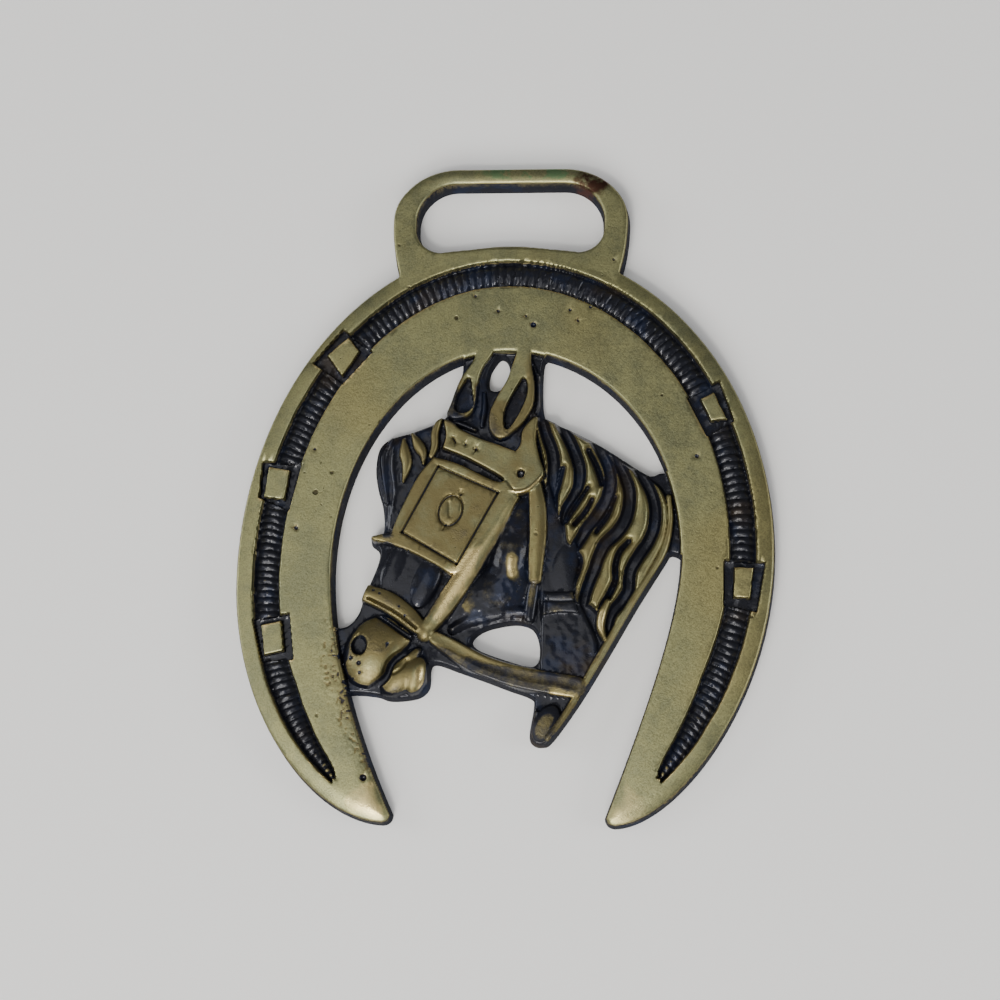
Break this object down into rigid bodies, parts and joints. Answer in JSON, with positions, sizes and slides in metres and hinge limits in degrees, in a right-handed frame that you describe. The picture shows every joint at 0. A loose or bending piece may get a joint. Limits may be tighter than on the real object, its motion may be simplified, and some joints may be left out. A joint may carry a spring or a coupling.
{
  "type": "horse brass",
  "caption": "Flat cast harness ornament: a bridled horse's head in relief inside a horseshoe with a corded groove, under a slotted strap loop",
  "frame": {"origin": "middle of the bounding box, at the flat back", "axes": "+X to the viewer's right, +Y towards the strap loop, +Z out of the decorated front; the brass lies on its back"},
  "size_m": [0.07, 0.088, 0.004],
  "materials": {
    "brass": "cast, aged and hand-polished"
  },
  "bodies": {
    "root": {"brass_casting": "brass"}
  },
  "joints": []
}
